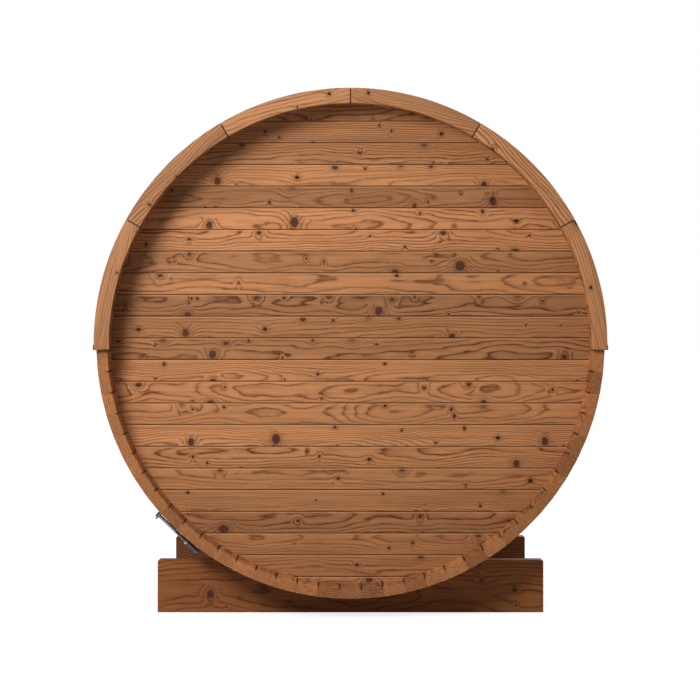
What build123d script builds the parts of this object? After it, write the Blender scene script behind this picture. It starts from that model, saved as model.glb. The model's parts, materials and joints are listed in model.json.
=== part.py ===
from build123d import *
from math import ceil, cos, degrees, floor, pi, radians, sin, sqrt, tan
import os

# A barrel sauna of bead-and-cove staves, closed by boarded end walls that sit in grooves
# cut round the staves, and carried on two saddle beams. Millimetres, +Z up.
# The barrel lies along Y. Its closed end faces -Y and its door end faces +Y.
# Everything is drawn round the barrel's axis and lifted to its height at the end.

# Staves
stave_count = 71
barrel_radius = 1004.5
barrel_length = 1500.0
stave_thickness = 43.0
stave_bevel = 2.5
joint_groove_depth = 7.5
bead_height = 2.5
bead_inset = 4.0

# Clearances between pieces that do not touch, and between solids side by side
fit_gap = 0.3
joint_gap = 0.3

# Boarded end walls, held in a groove near each end of the staves
wall_thickness = 42.0
wall_recess = 155.0
croze_depth = 8.0
board_pitch = 87.2
seam_height = 23.7
seam_bevel = 3.0
least_board = 20.0

# Door in the front wall
door_width = 600.0
head_corner_margin = 35.0
sill_corner_margin = 54.0
door_thickness = 28.0
door_board_count = 6
ledge_width = 110.0
ledge_inset = 150.0
ledge_side_gap = 12.0
ledge_thickness = 22.0
frame_width = 42.0
frame_proud = 16.0
leaf_gap = 3.0
stop_width = 14.0
stop_thickness = 20.0

# Door fittings
hinge_height = 90.0
hinge_inset = 190.0
hinge_leaf_width = 30.0
hinge_leaf_thickness = 2.5
hinge_barrel_radius = 6.0
hinge_count = 2
handle_length = 360.0
handle_size = 32.0
handle_standoff = 42.0
handle_post_size = 24.0
handle_post_inset = 60.0
handle_bevel = 7.0
handle_edge_inset = 62.0
handle_height = -40.0

# Curved cover trims on the ends of the upper staves
trims_per_end = 6
trim_proud = 7.7
trim_overhang = 9.0
trim_thickness = 28.0
trim_gap = 1.5
trim_bevel = 2.0

# Roof covering and drip edges
covering_thickness = 5.0
drip_reach = 13.5
drip_height = 20.0
drip_thickness = 1.5
drip_lift = 1.0
drip_flange = 45.0

# Saddle beams
cradle_length = 1563.0
cradle_height = 211.5
cradle_thickness = 74.0
cradle_web = 83.5
cradle_setback = 230.0
cradle_bevel = 5.0

# Steel hoops and their tensioners; the angle is measured below the barrel's axis
band_width = 30.0
band_thickness = 1.0
band_setback = 85.0
tensioner_angle = 46.35
rod_radius = 7.0
rod_offset = 18.1
lug_place = -82.0
lug_thickness = 6.0
lug_rise = 18.0
lug_foot = 34.0
lug_foot_height = 2.5
rod_grip = 22.0
sleeve_place = 73.5
sleeve_length = 57.0
sleeve_radius = 12.5
nut_height = 7.0
nut_radius = 13.0
end_nut_height = 8.0
web_width = 12.0

# Sizes that follow from the ones above
half_pitch = pi / stave_count
outer_face = barrel_radius * cos(half_pitch)
inner_face = outer_face - stave_thickness
half_length = barrel_length / 2
upper_count = stave_count // 2 + 1
lower_count = stave_count - upper_count
upper_span = upper_count * 360 / stave_count
wall_outer = half_length - wall_recess
wall_inner = wall_outer - wall_thickness
wall_face = inner_face + croze_depth
axis_height = cradle_web + fit_gap + barrel_radius
eave_height = -barrel_radius * sin(radians(upper_span / 2 - 90))
band_centre = half_length - band_setback - band_width / 2
band_face = outer_face + fit_gap
covering_face = band_face + band_thickness + fit_gap
frame_half = door_width / 2 + leaf_gap + frame_width
door_top = sqrt((inner_face - head_corner_margin) ** 2 - frame_half**2) - frame_width - leaf_gap
door_bottom = frame_width + leaf_gap - sqrt((inner_face - sill_corner_margin) ** 2 - frame_half**2)
lower_groups = 5
upper_groups = 6


def polygon_radius(face):
    """Corner radius of the barrel's polygon whose flats lie at this distance."""
    return face / cos(half_pitch)


def barrel_polygon(face):
    """Flat polygon with one side for each stave, the lowest side level."""
    return Plane.XZ * RegularPolygon(
        radius=polygon_radius(face), side_count=stave_count, rotation=-90 + degrees(half_pitch)
    )


def prism(face, y_low, y_high):
    """Solid bounded by the barrel's polygon between two places along the barrel."""
    solid = extrude(barrel_polygon(face), amount=(y_high - y_low) / 2, both=True)
    return Pos(0, (y_low + y_high) / 2, 0) * solid


def block(x_low, x_high, y_low, y_high, z_low, z_high):
    """Plain box given by its low and high corners."""
    middle = ((x_low + x_high) / 2, (y_low + y_high) / 2, (z_low + z_high) / 2)
    return Pos(*middle) * Box(x_high - x_low, y_high - y_low, z_high - z_low)


def in_groups(pieces, count):
    """Runs of neighbouring pieces, as even in number as they can be."""
    cuts = [round(index * len(pieces) / count) for index in range(count + 1)]
    return [pieces[low:high] for low, high in zip(cuts, cuts[1:])]


def other_end(shape):
    """The same piece at the front end of the barrel."""
    return mirror(shape, about=Plane.XZ)


def stave_outline():
    """Section of the top stave: a bead on one edge, a cove on the other, and bevels at the faces."""
    edge_out = Vector(cos(half_pitch), -sin(half_pitch))
    edge_up = Vector(sin(half_pitch), cos(half_pitch))
    inset = edge_out * (joint_gap / 2)
    corner_out = outer_face / cos(half_pitch)
    corner_in = inner_face / cos(half_pitch)

    def on_edge(distance, rise=0):
        return edge_up * distance - inset + edge_out * rise

    def other_side(point):
        return Vector(-point.X, point.Y)

    def face_point(distance):
        corner = edge_up * distance - inset
        return Vector(corner.X - stave_bevel, edge_up.Y * distance)

    low, high = corner_in + croze_depth + bead_inset, corner_out - stave_bevel
    bead = [on_edge(low), on_edge((low + high) / 2, bead_height), on_edge(high)]
    cove = [other_side(point) for point in (bead[2], on_edge((low + high) / 2, -bead_height), bead[0])]
    inside, outside = face_point(corner_in), face_point(corner_out)
    foot = on_edge(corner_in + joint_groove_depth)
    with BuildSketch(Plane.XZ) as sketch:
        with BuildLine():
            ThreePointArc(*bead)
            Polyline(bead[2], outside, other_side(outside), cove[0])
            ThreePointArc(*cove)
            Polyline(cove[2], other_side(foot), other_side(inside), inside, foot, bead[0])
        make_face()
    return sketch.sketch


def top_stave():
    """One stave, straight up from the axis, with the grooves that hold both end walls."""
    stave = extrude(stave_outline(), amount=half_length, both=True)
    half_width = barrel_radius * tan(half_pitch)
    for side in (-1, 1):
        ends = sorted((side * (wall_inner - fit_gap), side * (wall_outer + fit_gap)))
        stave -= block(-half_width, half_width, *ends, 0, wall_face)
    return stave


def staves():
    """Stave nodes: the lower ones from left eave to right eave, then the upper ones back."""
    first = top_stave()
    pitch = 360 / stave_count
    lower_first = 180 + pitch * (lower_count - 1) / 2
    upper_first = pitch * (upper_count - 1) / 2
    lower = [first.rotate(Axis.Y, lower_first - pitch * index) for index in range(lower_count)]
    upper = [first.rotate(Axis.Y, upper_first - pitch * index) for index in range(upper_count)]
    nodes = {f"lower_staves_{n + 1}": group for n, group in enumerate(in_groups(lower, lower_groups))}
    nodes |= {f"upper_staves_{n + 1}": group for n, group in enumerate(in_groups(upper, upper_groups))}
    return nodes


def wall_seams():
    """Heights of the seams between wall boards, leaving out slivers at the top and bottom."""
    reach = wall_face - least_board
    lowest = ceil((-reach - seam_height) / board_pitch)
    highest = floor((reach - seam_height) / board_pitch)
    return [seam_height + board_pitch * row for row in range(lowest, highest + 1)]


def end_wall():
    """Back wall: boards under each other, cut to the outline that the staves' grooves leave."""
    wall = prism(wall_face - fit_gap, -wall_outer, -wall_inner)
    for height in wall_seams():
        corners = [
            (-wall_outer, height - seam_bevel), (seam_bevel - wall_outer, height),
            (-wall_outer, height + seam_bevel),
        ]
        seam = extrude(Plane.YZ * make_face(Polyline(*corners, close=True)), amount=barrel_radius, both=True)
        wall -= seam
    return wall


def front_wall():
    """Front wall beside, over and under the door frame."""
    wall = other_end(end_wall())
    side, far = frame_half + fit_gap, barrel_radius
    between = side - fit_gap
    low = door_bottom - leaf_gap - frame_width - fit_gap
    high = door_top + leaf_gap + frame_width + fit_gap
    return {
        "front_wall_left": [wall & block(-far, -side, 0, far, -far, far)],
        "front_wall_right": [wall & block(side, far, 0, far, -far, far)],
        "front_wall_over_door": [wall & block(-between, between, 0, far, high, far)],
        "front_wall_under_door": [wall & block(-between, between, 0, far, -far, low)],
    }


def door_frame():
    """Two jambs with a head and a sill between them, each with a stop behind the leaf."""
    half = door_width / 2 + leaf_gap
    low, high = door_bottom - leaf_gap, door_top + leaf_gap
    front = wall_outer + frame_proud
    back = wall_inner - frame_proud
    stop_front = front - door_thickness - fit_gap
    stop_back = stop_front - stop_thickness
    jamb = block(half, half + frame_width, back, front, low - frame_width, high + frame_width)
    jamb += block(half - stop_width, half, stop_back, stop_front, low, high)
    head = block(-half + joint_gap, half - joint_gap, back, front, high, high + frame_width)
    sill = block(-half + joint_gap, half - joint_gap, back, front, low - frame_width, low)
    between = half - stop_width - joint_gap
    head += block(-between, between, stop_back, stop_front, high - stop_width, high)
    sill += block(-between, between, stop_back, stop_front, low, low + stop_width)
    return [jamb, mirror(jamb, about=Plane.YZ), head, sill]


def door_leaf():
    """Upright bevelled boards, held together by ledges on the inside."""
    front = wall_outer + frame_proud
    back = front - door_thickness
    pitch = door_width / door_board_count
    pieces = []
    for index in range(door_board_count):
        left = -door_width / 2 + index * pitch + joint_gap / 2
        board = block(left, left + pitch - joint_gap, back, front, door_bottom, door_top)
        face_edges = board.edges().filter_by(Axis.Z).group_by(Axis.Y)[-1]
        pieces.append(chamfer(face_edges, seam_bevel))
    half = door_width / 2 + leaf_gap - stop_width - ledge_side_gap
    for middle in (door_bottom + ledge_inset, door_top - ledge_inset):
        low, high = middle - ledge_width / 2, middle + ledge_width / 2
        pieces.append(block(-half, half, back - fit_gap - ledge_thickness, back - fit_gap, low, high))
    return pieces


def door_hinges():
    """Butt hinges on the left edge of the leaf: two leaves and a knuckle each."""
    front = wall_outer + frame_proud + fit_gap
    axis_x = -door_width / 2 - leaf_gap / 2
    span = door_top - door_bottom - 2 * hinge_inset
    plate = block(
        axis_x - hinge_leaf_width, axis_x + hinge_leaf_width,
        front, front + hinge_leaf_thickness, -hinge_height / 2, hinge_height / 2
    )
    knuckle = Cylinder(hinge_barrel_radius, hinge_height)
    hinge = plate + Pos(axis_x, front + hinge_barrel_radius, 0) * knuckle
    places = [door_bottom + hinge_inset + span * index / (hinge_count - 1) for index in range(hinge_count)]
    return [Pos(0, 0, place) * hinge for place in places]


def door_handle():
    """Upright wooden pull with bevelled edges on two square posts."""
    front = wall_outer + frame_proud + fit_gap
    half_bar, half_post, half_length_z = handle_size / 2, handle_post_size / 2, handle_length / 2
    bar_front = front + handle_standoff + handle_size
    bar = block(-half_bar, half_bar, front + handle_standoff, bar_front, -half_length_z, half_length_z)
    bar = chamfer(bar.edges().filter_by(Axis.Z), handle_bevel)
    for side in (-1, 1):
        middle = side * (half_length_z - handle_post_inset)
        reach = front + handle_standoff
        bar += block(-half_post, half_post, front, reach, middle - half_post, middle + half_post)
    return [Pos(door_width / 2 - handle_edge_inset, 0, handle_height) * bar]


def ring_sector(inner, outer, start, span):
    """Flat sector of a round ring, with angles from +X towards +Z."""
    with BuildSketch(Plane.XZ) as sketch:
        with BuildLine():
            outside = CenterArc((0, 0), outer, start, span)
            inside = CenterArc((0, 0), inner, start, span)
            Line(outside @ 0, inside @ 0)
            Line(outside @ 1, inside @ 1)
        make_face()
    return sketch.sketch


def back_trims():
    """Cover trims from the left eave over the top to the right eave, bevelled on the face."""
    outer = barrel_radius + trim_proud
    inner = inner_face - trim_overhang
    opening = degrees(trim_gap / outer)
    pitch = upper_span / trims_per_end
    trims = []
    for index in range(trims_per_end):
        end = 90 + upper_span / 2 - index * pitch
        sector = ring_sector(inner, outer, end - pitch + opening / 2, pitch - opening)
        trim = Pos(0, -half_length, 0) * extrude(sector, amount=trim_thickness)
        cut_edges = trim.faces().sort_by(Axis.Y)[0].edges().filter_by(GeomType.LINE)
        trims.append(chamfer(cut_edges, trim_bevel))
    return trims


def cradle():
    """Saddle beam at the back: bevelled top corners and a round seat for the barrel."""
    half = cradle_length / 2
    bottom = -axis_height
    top = bottom + cradle_height
    with BuildSketch(Plane.XZ) as sketch:
        with BuildLine():
            Polyline(
                (-half, bottom), (half, bottom), (half, top - cradle_bevel), (half - cradle_bevel, top),
                (cradle_bevel - half, top), (-half, top - cradle_bevel), close=True
            )
        make_face()
        Circle(barrel_radius + fit_gap, mode=Mode.SUBTRACT)
    middle = half_length - cradle_setback - cradle_thickness / 2
    return Pos(0, -middle, 0) * extrude(sketch.sketch, amount=cradle_thickness / 2, both=True)


def tensioner_place():
    """Frame of the tensioner: X along the rod, Z outwards, on the staves' outer radius."""
    turn = radians(tensioner_angle)
    outward = Vector(-cos(turn), 0, -sin(turn))
    along = Vector(sin(turn), 0, -cos(turn))
    return Plane(origin=outward * barrel_radius + Vector(0, -band_centre, 0), x_dir=along, z_dir=outward)


def back_band():
    """Hoop that leaves the barrel's lower left open where the rod draws its ends together."""
    low, high = -band_centre - band_width / 2, band_width / 2 - band_centre
    ring = prism(band_face + band_thickness, low, high) - prism(band_face, low, high)
    start = lug_place + lug_thickness / 2
    gap = block(start, sleeve_place, -band_width, band_width, -2 * rod_offset, 2 * rod_offset)
    return ring - tensioner_place().location * gap


def along_rod(radius, start, end):
    """Round bar on the rod's axis, between two places along it."""
    bar = Rot(0, 90, 0) * Cylinder(radius, end - start)
    return Pos((start + end) / 2, 0, rod_offset) * bar


def hex_nut(start, height):
    """Nut on the rod's axis, with one flat turned outwards."""
    place = Plane.YZ.offset(start) * Pos(0, rod_offset)
    return extrude(place * RegularPolygon(nut_radius, 6), amount=height)


def back_tensioner():
    """Upright lug with the rod and its two nuts, and the sleeve that the rod screws into."""
    half = band_width / 2
    reach = rod_offset + lug_rise
    lug_back, lug_front = lug_place - lug_thickness / 2, lug_place + lug_thickness / 2
    sleeve_end = sleeve_place + sleeve_length
    rod_end = sleeve_place + rod_grip
    rod = block(lug_back, lug_front, -half, half, -reach, reach)
    rod += block(lug_back - lug_foot, lug_back, -half, half, -reach, lug_foot_height)
    rod += along_rod(rod_radius, lug_front, rod_end)
    rod += hex_nut(lug_back - end_nut_height, end_nut_height)
    rod += hex_nut(sleeve_place - fit_gap - nut_height, nut_height)
    sleeve = block(sleeve_place, sleeve_end, -web_width / 2, web_width / 2, -reach, rod_offset)
    sleeve += along_rod(sleeve_radius, sleeve_place, sleeve_end)
    sleeve -= along_rod(rod_radius + fit_gap, sleeve_place, rod_end + fit_gap)
    place = tensioner_place().location
    under = prism(covering_face, -band_centre - band_width, band_width - band_centre)
    return [place * rod - under, place * sleeve - under]


def drip_outline(x_root, x_tip, z_low, z_high):
    """Section of a folded eave strip: flange against the staves, a step out and a hem down."""
    return [
        (x_root, z_high - drip_thickness), (x_root, z_high + drip_flange),
        (x_root + drip_thickness, z_high + drip_flange), (x_root + drip_thickness, z_high),
        (x_tip, z_high), (x_tip, z_low), (x_tip - drip_thickness, z_low),
        (x_tip - drip_thickness, z_high - drip_thickness),
    ]


def right_drip_edge():
    """Eave strip, notched where the two bands pass behind its flange."""
    z_low = eave_height + drip_lift
    root = barrel_radius + fit_gap
    points = drip_outline(root, barrel_radius + drip_reach, z_low, z_low + drip_height)
    strip = extrude(Plane.XZ * make_face(Polyline(*points, close=True)), amount=half_length, both=True)
    notch_reach = root + drip_thickness + fit_gap
    for side in (-1, 1):
        ends = sorted((side * (band_centre - band_width), side * (band_centre + band_width)))
        strip -= block(0, notch_reach, *ends, z_low, z_low + drip_height + 2 * drip_flange)
    return strip


def roof_covering():
    """Covering over the upper staves and the hoops, hollowed behind for the eave flanges."""
    shell = prism(covering_face + covering_thickness, -half_length, half_length)
    shell -= prism(covering_face, -half_length, half_length)
    lowest = eave_height + drip_lift + drip_height + fit_gap
    far = 2 * barrel_radius
    shell &= block(-far, far, -half_length, half_length, lowest, far)
    reach = barrel_radius + fit_gap + drip_thickness + fit_gap
    return shell - block(-reach, reach, -half_length, half_length, -far, lowest + drip_flange)


def build():
    """Every node of the sauna, round the barrel's axis."""
    nodes = staves()
    nodes["back_wall"] = [end_wall()]
    nodes |= front_wall()
    nodes["door_frame"] = door_frame()
    nodes["door_leaf"] = door_leaf()
    nodes["door_hinges"] = door_hinges()
    nodes["door_handle"] = door_handle()
    for side, trims in zip(("left", "right"), in_groups(back_trims(), 2)):
        nodes[f"back_trims_{side}"] = trims
        nodes[f"front_trims_{side}"] = [other_end(trim) for trim in trims]
    nodes["cradle_back"] = [cradle()]
    nodes["cradle_front"] = [other_end(cradle())]
    nodes["band_back"] = [back_band()]
    nodes["band_front"] = [other_end(back_band())]
    nodes["tensioner_back"] = back_tensioner()
    nodes["tensioner_front"] = [other_end(piece) for piece in back_tensioner()]
    nodes["roof_covering"] = [roof_covering()]
    nodes["drip_edge_right"] = [right_drip_edge()]
    nodes["drip_edge_left"] = [mirror(right_drip_edge(), about=Plane.YZ)]
    return nodes


os.makedirs("parts", exist_ok=True)
for name, pieces in build().items():
    solids = [solid for piece in pieces for solid in piece.solids()]
    lifted = [Pos(0, 0, axis_height) * solid for solid in solids]
    shape = lifted[0] if len(lifted) == 1 else Compound(children=lifted)
    export_step(shape, f"parts/{name}.step")
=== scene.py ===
import bmesh
import bpy
import json
from math import ceil, cos, floor, pi, radians, sin
from mathutils import Matrix, Vector


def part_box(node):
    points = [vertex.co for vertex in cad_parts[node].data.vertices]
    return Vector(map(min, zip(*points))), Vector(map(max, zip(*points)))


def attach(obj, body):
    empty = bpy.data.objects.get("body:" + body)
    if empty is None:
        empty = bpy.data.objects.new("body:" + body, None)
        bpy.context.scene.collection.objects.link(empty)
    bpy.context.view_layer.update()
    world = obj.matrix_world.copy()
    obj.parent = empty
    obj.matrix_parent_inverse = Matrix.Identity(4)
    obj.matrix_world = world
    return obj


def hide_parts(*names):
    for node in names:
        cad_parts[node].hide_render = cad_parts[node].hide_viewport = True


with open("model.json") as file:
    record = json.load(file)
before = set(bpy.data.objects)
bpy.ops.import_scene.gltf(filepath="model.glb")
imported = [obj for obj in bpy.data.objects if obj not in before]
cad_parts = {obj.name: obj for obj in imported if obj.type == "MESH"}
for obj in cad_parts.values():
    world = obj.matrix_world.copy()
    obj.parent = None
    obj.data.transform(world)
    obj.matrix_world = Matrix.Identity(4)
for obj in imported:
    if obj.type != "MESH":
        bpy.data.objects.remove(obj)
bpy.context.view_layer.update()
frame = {"nodes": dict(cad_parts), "record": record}

# The barrel, in metres. Its closed end faces -Y and its door end faces +Y.
stave_count = 71
barrel_radius = 1.0045
stave_thickness = 0.043
croze_depth = 0.008
croze_play = 0.0003
stave_pitch = 2 * pi / stave_count
outer_face = barrel_radius * cos(stave_pitch / 2)
inner_face = outer_face - stave_thickness
wall_reach = inner_face + croze_depth - croze_play
axis_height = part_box("lower_staves_3")[0].z + outer_face
barrel_axis = Vector((0, 0, axis_height))

# Boards of the end walls; they start longer than the wall, and the staves' curve cuts them
wall_thickness = 0.042
board_pitch = 0.0872
board_half_length = 1.0
seam_height = 0.0237
board_bevel = 0.003
board_slit = 0.0014
least_board = 0.020
tongue_start = 0.017
tongue_thickness = 0.008
tongue_height = 0.007
groove_depth = 0.008

# A height from the axis that lies past the barrel's top and foot
past_barrel = 2.0

# Cover trims on the stave ends
trims_per_end = 6
trim_span = radians((stave_count // 2 + 1) * 360 / stave_count)
trim_pitch = trim_span / trims_per_end
trim_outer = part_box("back_trims_left")[1].z - axis_height
trim_overhang = 0.009
trim_inner = inner_face - trim_overhang
trim_gap = 0.0015
trim_round = 0.0022
trim_steps = 28

# Shingles: thin tabs in courses from the eaves to the ridge, on an underlay
roof_margin = 0.001
shingle_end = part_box("roof_covering")[1].y - roof_margin
eave_turn = radians(90.0)
ridge_margin = 0.23
course_count = 10
course_overlap = 0.045
shingle_thickness = 0.002
shingle_low_radius = 1.0092
shingle_high_radius = 1.0065
underlay_radius = 1.0058
underlay_thickness = 0.001
underlay_margin = 0.055
underlay_steps = 60
tab_width = 1 / 3
tab_slot = 0.008
tab_steps = 3
ridge_cap_half = 0.11
ridge_cap_count = 9
ridge_cap_radius = 1.0095
ridge_cap_gap = 0.001
ridge_cap_steps = 6
roof_radius = 1.008
course_pitch = (eave_turn * roof_radius - ridge_margin) / course_count

# Hoop tensioners: places along the rod from where it is nearest the barrel
band_centre = 0.65
tensioner_turn = radians(46.35)
rod_lift = 0.0181
rod_radius = 0.007
rod_sides = 20
lug_place = -0.082
lug_thickness = 0.006
lug_half_width = 0.015
lug_top = 0.0361
lug_bedding = 0.0005
lug_round = 0.0012
foot_length = 0.034
foot_overlap = 0.001
foot_thickness = 0.0022
plate_round = 0.0009
sleeve_place = 0.0735
sleeve_length = 0.057
sleeve_radius = 0.0125
sleeve_sides = 40
sleeve_ease = 0.001
collar_length = 0.007
rib_pitch = 0.0036
rib_depth = 0.0012
rib_drop = 0.0002
web_margin = 0.004
web_half_width = 0.006
web_low = -0.002
web_round = 0.001
strap_low = -0.0035
strap_high = -0.0012
nut_height = 0.007
nut_gap = 0.0005
nut_ease = 0.0011
end_nut_height = 0.008
nut_radius = 0.013
washer_radius = 0.0128
washer_thickness = 0.0022
washer_ease = 0.0004
thread_pitch = 0.00175
thread_depth = 0.0009
thread_start = 0.012
thread_lead = 0.001

# Door
door_half = 0.3
leaf_gap = 0.003
door_board = 0.1

# Wood colours, as linear red, green and blue
early_wood = (0.470, 0.206, 0.083)
late_wood = (0.112, 0.034, 0.010)
trim_early_wood = (0.468, 0.213, 0.091)
trim_late_wood = (0.115, 0.036, 0.011)
knot_halo = (0.115, 0.038, 0.013)
knot_heart_dark = (0.036, 0.012, 0.006)
knot_heart_pale = (0.105, 0.037, 0.016)
knot_rim = (0.020, 0.007, 0.0035)
pin_knot = (0.026, 0.009, 0.005)
# Painted highlight on the upper arris of each wall board
painted_arris_highlight = (0.62, 0.31, 0.145)
# Painted shade on the lower arris of each wall board
painted_arris_shade = (0.045, 0.015, 0.006)
# Painted shade in the grooves between staves and at the joints of the trims
painted_groove_shade = (0.040, 0.013, 0.005)

# Knots: each cell of a plank may hold one, with a radius from least to most
big_knots = {"cell_length": 0.27, "cell_height": 0.075, "least": 0.0055, "most": 0.020}
pin_knots = {"cell_length": 0.13, "cell_height": 0.045, "least": 0.0030, "most": 0.0075}
knot_free_end = 0.70

# Each plank's number sets its figure; these keep the two ends and the groups of planks apart
front_wall_step = 40
front_trim_step = 30
front_beam_step = 3
beam_number = 5.0
door_board_number = 90.0
frame_number = 110.0
handle_number = 120.0

# Where a plank's coordinates start: how deep in the wood, and how far across it
wall_depth_start = 0.595
stave_depth_start = inner_face - 0.11
trim_depth_start = 0.75
trim_across_shift = 0.13
beam_depth_start = 0.45
beam_across_start = 0.1

# Half height of a board whose painted arris highlight and shade show; the large one leaves them plain
plain_edges = 9.0

# Distances from a joint at which its painted shade line starts and is full
inner_groove = (0.0046, 0.0026)
outer_ease = (0.0030, 0.0015)
trim_end_line = (0.0036, 0.0022)

# Steel and roofing colours
steel_dark = (0.20, 0.20, 0.20)
steel_pale = (0.32, 0.32, 0.31)
dull_steel = (0.095, 0.098, 0.104)
# Brighter steel painted on the nut before the sleeve as a painted highlight
nut_painted_highlight = (0.50, 0.51, 0.52)
coat_black = (0.006, 0.006, 0.007)
coat_dusty = (0.014, 0.013, 0.012)
felt_black = (0.010, 0.010, 0.011)
felt_grit = (0.060, 0.060, 0.064)
felt_patch = (0.035, 0.034, 0.034)
felt_pale_tab = (0.050, 0.049, 0.048)


class Nodes:
    """Writes shader nodes one after another; each call adds a node and gives back an output."""

    def __init__(self, tree):
        self.tree = tree

    def add(self, kind, inputs=(), output=0, **settings):
        node = self.tree.nodes.new(kind)
        for name, value in settings.items():
            setattr(node, name, value)
        for name, value in dict(inputs).items():
            if isinstance(value, bpy.types.NodeSocket):
                self.tree.links.new(value, node.inputs[name])
            else:
                node.inputs[name].default_value = value
        return node.outputs[output]

    def math(self, operation, *values, clamp=False):
        return self.add("ShaderNodeMath", enumerate(values), operation=operation, use_clamp=clamp)

    def vector(self, operation, *values, output=0):
        return self.add("ShaderNodeVectorMath", enumerate(values), output, operation=operation)

    def combine(self, x=0.0, y=0.0, z=0.0):
        return self.add("ShaderNodeCombineXYZ", {0: x, 1: y, 2: z})

    def separate(self, vector):
        x = self.add("ShaderNodeSeparateXYZ", {0: vector})
        return x, x.node.outputs[1], x.node.outputs[2]

    def length(self, x, y):
        """Distance from 0 of a point given by two coordinates."""
        return self.vector("LENGTH", self.combine(x, y), output="Value")

    def scaled(self, vector, x, y, z):
        return self.vector("MULTIPLY", vector, (x, y, z))

    def noise(self, vector, detail=2.0, roughness=0.5):
        values = {"Vector": vector, "Scale": 1.0, "Detail": detail, "Roughness": roughness}
        return self.add("ShaderNodeTexNoise", values)

    def sway(self, vector, detail=2.0, roughness=0.5):
        """Noise to both sides of 0."""
        return self.math("SUBTRACT", self.noise(vector, detail, roughness), 0.5)

    def chances(self, number):
        """Three random numbers from 0 to 1 for each number."""
        white = self.add("ShaderNodeTexWhiteNoise", {"W": number}, "Color", noise_dimensions="1D")
        return self.separate(white)

    def between(self, value, low, high, to_low=0.0, to_high=1.0, smooth=True):
        """Value spread from low..high onto to_low..to_high, and held at both ends."""
        values = {"Value": value, "From Min": low, "From Max": high, "To Min": to_low, "To Max": to_high}
        return self.add("ShaderNodeMapRange", values, interpolation_type="SMOOTHSTEP" if smooth else "LINEAR")

    def mix(self, factor, first, second):
        """Blend of two colours, each an output or its red, green and blue."""
        first, second = (
            colour if isinstance(colour, bpy.types.NodeSocket) else (*colour, 1) for colour in (first, second)
        )
        values = {"Factor": factor, 6: first, 7: second}
        return self.add("ShaderNodeMix", values, 2, data_type="RGBA", clamp_factor=True)

    def ramp(self, value, stops):
        """Colour ramp from (place, grey level) stops."""
        out = self.add("ShaderNodeValToRGB", {0: value})
        elements = out.node.color_ramp.elements
        while len(elements) < len(stops):
            elements.new(0.5)
        for element, (place, level) in zip(elements, stops):
            element.position = place
            element.color = (level, level, level, 1)
        return out


def knots(n, along, across, share, cell_length, cell_height, least, most):
    """Knots scattered in a plank: distance from the nearest over its radius, and 1 where it is there."""
    cell = n.combine(n.math("DIVIDE", along, cell_length), n.math("DIVIDE", across, cell_height))
    nearest = n.add(
        "ShaderNodeTexVoronoi", {"Vector": cell, "Scale": 1.0, "Randomness": 0.85}, "Position",
        voronoi_dimensions="2D", feature="F1",
    )
    chance, size, kind = n.separate(nearest.node.outputs["Color"])
    away = n.scaled(n.vector("SUBTRACT", cell, nearest), cell_length, cell_height, 0)
    away_along, away_across, _ = n.separate(away)
    stretch = n.math("MULTIPLY_ADD", kind, 0.7, 0.65)
    distance = n.length(n.math("DIVIDE", away_along, stretch), away_across)
    present = n.math("LESS_THAN", chance, share)
    mostly_small, no_radius = 2.2, 0.00001
    size = n.math("MULTIPLY_ADD", n.math("POWER", size, mostly_small), most - least, least)
    radius = n.math("MAXIMUM", n.math("MULTIPLY", size, present), no_radius)
    return n.math("DIVIDE", distance, radius), present


def fade(n, ratio, reach):
    """1 at a knot's middle, falling off like a bell over this many radii."""
    return n.math("EXPONENT", n.math("MULTIPLY", n.math("POWER", n.math("DIVIDE", ratio, reach), 2.0), -1.0))


def ragged_knots(n, along, across, place, share):
    """Big knots and pin knots, all with uneven outlines."""
    rag = 0.011
    wobble = n.noise(n.scaled(place, 110, 150, 20)).node.outputs["Color"]
    wobble_along, wobble_across, _ = n.separate(n.vector("SUBTRACT", wobble, (0.5, 0.5, 0.5)))
    along = n.math("MULTIPLY_ADD", wobble_along, rag, along)
    across = n.math("MULTIPLY_ADD", wobble_across, rag, across)
    big = knots(n, along, across, share, **big_knots)
    pin = knots(n, along, across, n.math("MULTIPLY", share, 0.5), **pin_knots)
    return big, pin


def pith_distance(n, along, across, depth, place, start, side_chance, depth_chance, pith_spread):
    """Distance from the tree's pith, which runs behind the plank's face and wanders along it."""
    slow = n.sway(n.combine(n.math("MULTIPLY", along, 1.3), start, 3.0))
    slower = n.sway(n.combine(n.math("MULTIPLY", along, 0.8), start, 9.0))
    bend = n.sway(n.scaled(place, 2.3, 5.0, 5.0))
    side = n.math("MULTIPLY", n.math("SUBTRACT", side_chance, 0.5), pith_spread)
    side = n.math("MULTIPLY_ADD", slow, 0.10, side)
    under = n.math("MULTIPLY_ADD", depth_chance, 0.09, 0.028)
    under = n.math("ADD", under, n.math("MULTIPLY_ADD", slower, 0.13, n.math("MULTIPLY", bend, 0.040)))
    return n.length(n.math("SUBTRACT", across, side), n.math("ADD", n.math("ABSOLUTE", depth), under))


def late_wood_share(n, radius, place, spacing_chance, big, pin):
    """Late wood from 0 to 1 across each year's ring; the rings ripple, and bend round the knots."""
    spacing = n.math("MULTIPLY_ADD", spacing_chance, 0.0045, 0.0055)
    ripple = n.sway(n.scaled(place, 9, 45, 45), detail=3.0)
    rings = n.math("MULTIPLY_ADD", ripple, 0.95, n.math("DIVIDE", radius, spacing))
    for (ratio, present), reach, push in ((big, 2.7, 2.6), (pin, 3.0, 0.9)):
        rings = n.math("MULTIPLY_ADD", fade(n, ratio, reach), n.math("MULTIPLY", present, push), rings)
    year = ((0.0, 0.72), (0.09, 0.12), (0.42, 0.0), (0.76, 0.26), (0.93, 1.0))
    return n.ramp(n.math("FRACT", rings), year)


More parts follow.
